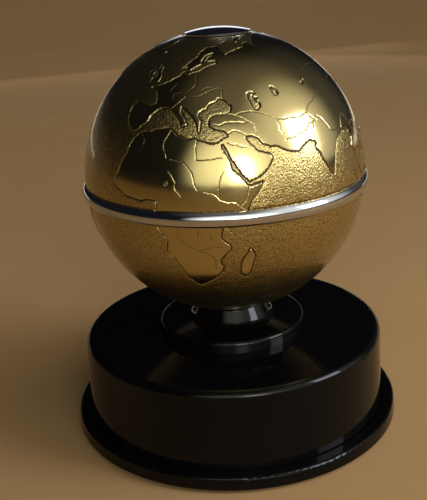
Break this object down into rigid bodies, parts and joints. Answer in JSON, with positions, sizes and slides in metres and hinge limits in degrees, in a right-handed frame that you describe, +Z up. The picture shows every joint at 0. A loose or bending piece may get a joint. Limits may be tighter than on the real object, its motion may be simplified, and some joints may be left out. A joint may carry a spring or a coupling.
{
  "type": "desktop globe",
  "caption": "Gold relief desk globe with a chrome waist bead, turning on a vertical axle above a gloss black drum stand with a flared collar and a stepped plinth.",
  "frame": {"origin": "on the globe's axis, on the surface that the feet stand on", "axes": "+Z is up along the globe's axis, towards the north pole; -Y faces the usual viewer"},
  "size_m": [0.1468, 0.1468, 0.1735],
  "materials": {
    "gold_shell": "gold anodised, pressed relief, satin",
    "bright_chrome": "polished plate",
    "black_gloss": "moulded, high gloss",
    "rubber_feet": "matt",
    "zinc_steel": "zinc plated sheet",
    "fastener_steel": "zinc plated",
    "cast_iron": "as cast, lacquered",
    "brass": "turned",
    "bronze": "turned bearing bronze",
    "plain_aluminium": "mill finish"
  },
  "bodies": {
    "stand": {"rubber_feet": "rubber_feet", "bottom_plate": "zinc_steel", "plinth_ring": "black_gloss", "base_drum": "black_gloss", "ballast_weight": "cast_iron", "ballast_screws": "fastener_steel", "plate_screws": "fastener_steel", "neck_collar": "black_gloss", "spindle": "fastener_steel", "base_nut": "fastener_steel", "base_lock_washer": "fastener_steel", "base_washer": "fastener_steel", "collar_washer": "fastener_steel", "collar_nut": "fastener_steel", "lower_thrust_washer": "bronze", "top_thrust_washer": "bronze", "spring_washer": "fastener_steel", "spindle_nut": "fastener_steel"},
    "globe": {"southern_hemisphere": "gold_shell", "northern_hemisphere": "gold_shell", "joining_band": "plain_aluminium", "waist_rivets": "plain_aluminium", "equator_ring": "bright_chrome", "south_boss": "brass", "south_boss_rivets": "plain_aluminium", "lower_bush": "bronze", "axle_sleeve": "brass", "upper_bush": "bronze", "north_boss": "brass", "north_boss_rivets": "plain_aluminium", "polar_cap": "bright_chrome"}
  },
  "joints": [
    {"name": "globe_spin", "type": "hinge", "parent": "stand", "child": "globe", "pos_m": [0, 0, 0.1126], "axis": [0, 0, 1], "continuous": true}
  ]
}
